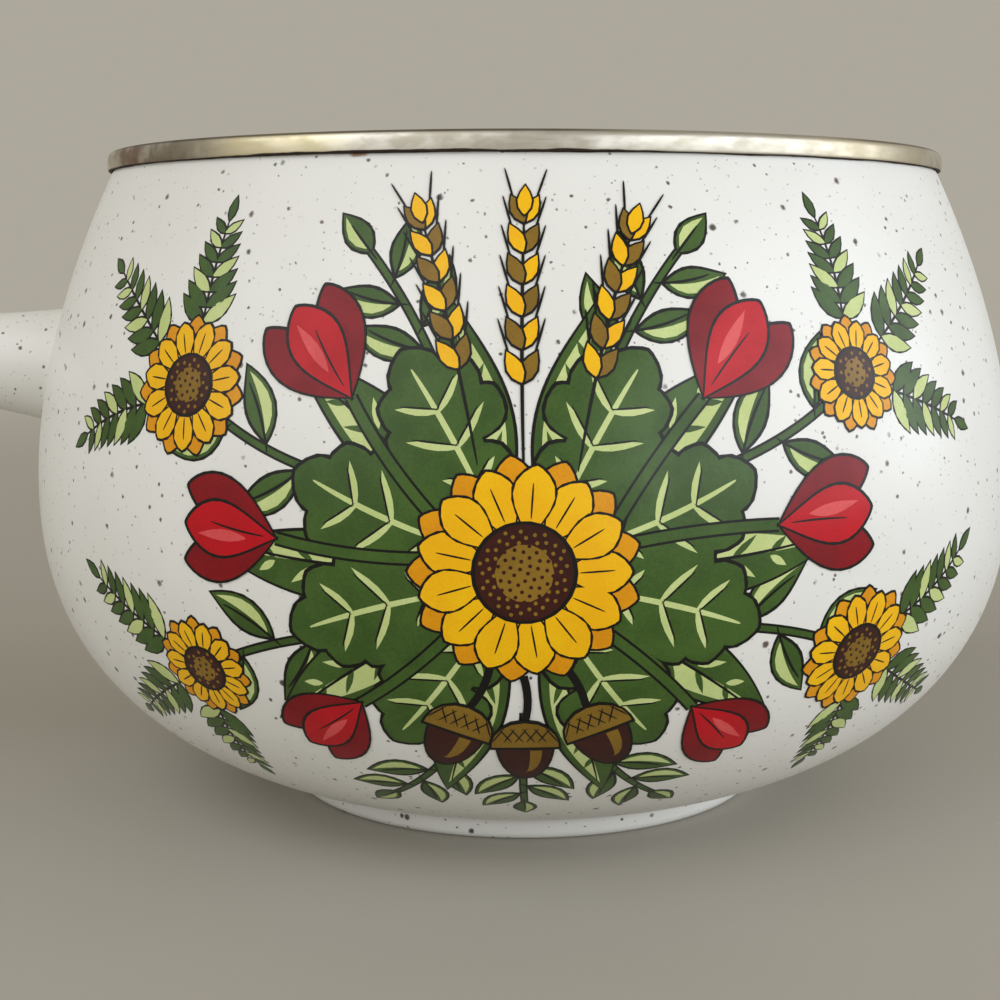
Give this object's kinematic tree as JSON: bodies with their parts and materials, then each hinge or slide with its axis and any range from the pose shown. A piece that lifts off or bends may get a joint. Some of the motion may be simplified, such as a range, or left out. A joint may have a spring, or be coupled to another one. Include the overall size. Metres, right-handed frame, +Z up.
{
  "type": "enamel saucepan",
  "caption": "Bellied enamelled steel saucepan with a clinched stainless rim band, a stepped foot, and a side handle with a turned wooden grip and a swinging wire hanging ring.",
  "frame": {"origin": "centre of the flat base, on the surface that the pot stands on", "axes": "+Z up out of the mouth, -X along the handle, -Y towards the picture's camera"},
  "size_m": [0.3707, 0.19, 0.1238],
  "materials": {
    "enamel": "gloss",
    "stainless": "satin",
    "plated_steel": "satin",
    "hardwood": "satin"
  },
  "bodies": {
    "pan": {"pot_body": "enamel", "rim_band": "stainless", "handle_socket": "enamel", "socket_nut": "plated_steel", "ferrule": "stainless", "grip": "hardwood", "end_washer": "plated_steel", "tie_screw": "plated_steel"},
    "ring": {"hang_ring": "plated_steel"}
  },
  "joints": [
    {"name": "ring_swing", "type": "hinge", "parent": "pan", "child": "ring", "pos_m": [-0.2679, 0, 0.09296], "axis": [0, 1, 0], "range_deg": [-60, 230]}
  ]
}
